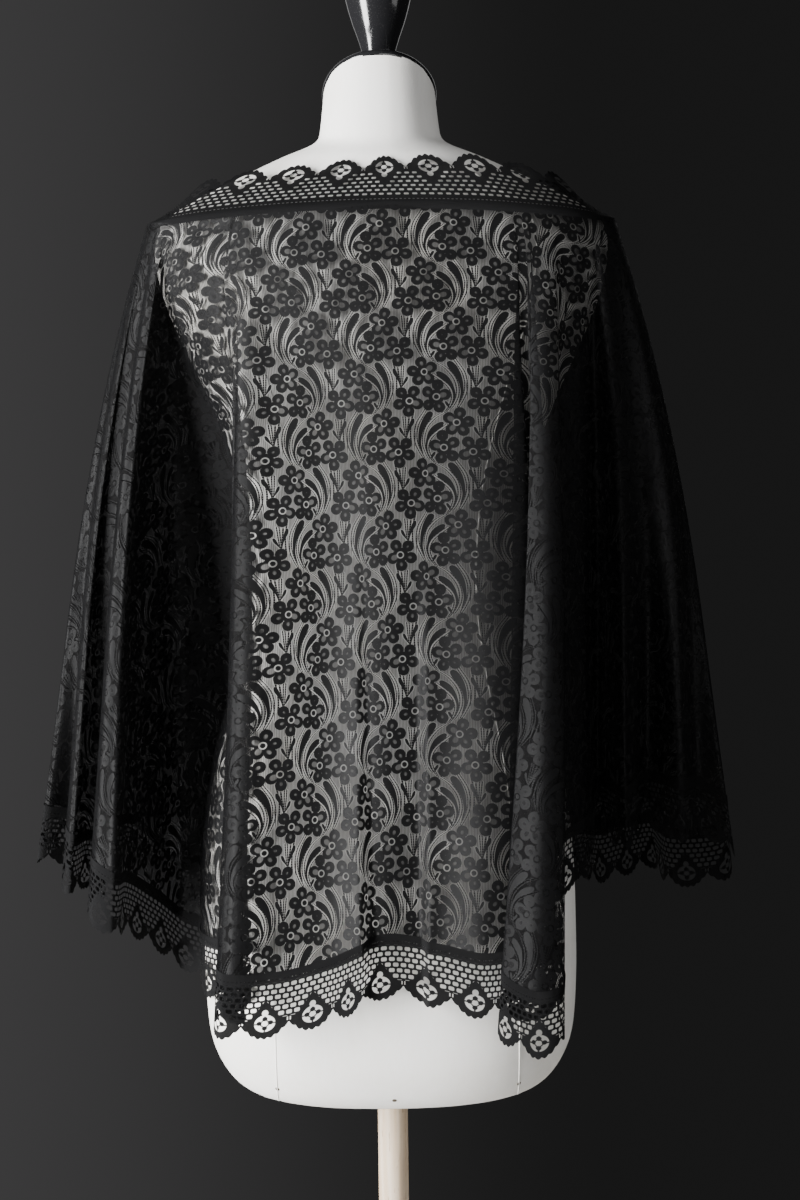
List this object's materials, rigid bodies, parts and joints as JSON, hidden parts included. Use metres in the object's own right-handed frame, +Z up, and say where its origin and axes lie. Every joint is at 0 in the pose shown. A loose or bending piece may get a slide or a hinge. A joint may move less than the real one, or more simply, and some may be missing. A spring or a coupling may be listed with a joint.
{
  "type": "lace cape on a dress form",
  "caption": "Black lace cape with a boat neck, scalloped edgings and deep hanging folds, on a limbless calico dress form with a turned knob, a pole and a round foot.",
  "frame": {"origin": "centre of the foot's underside, on the floor", "axes": "+Z up, -Y out of the cape's back, +Y out of its front, X along the shoulders"},
  "size_m": [0.6579, 0.42, 1.6507],
  "materials": {
    "lace": "matt black floral lace on fine net",
    "edging": "matt black scalloped lace edging with open mesh",
    "calico": "matt off-white cotton cover",
    "lacquer": "gloss black lacquer on wood",
    "beech": "pale satin beech"
  },
  "bodies": {
    "root": {"back_panel": "lace", "front_panel": "lace", "hem_edging_back": "edging", "hem_edging_front": "edging", "neck_edging_back": "edging", "neck_edging_front": "edging", "form_body": "calico", "neck_cap": "lacquer", "finial": "lacquer", "pole": "beech", "foot_hub": "beech", "foot": "beech"}
  },
  "joints": []
}
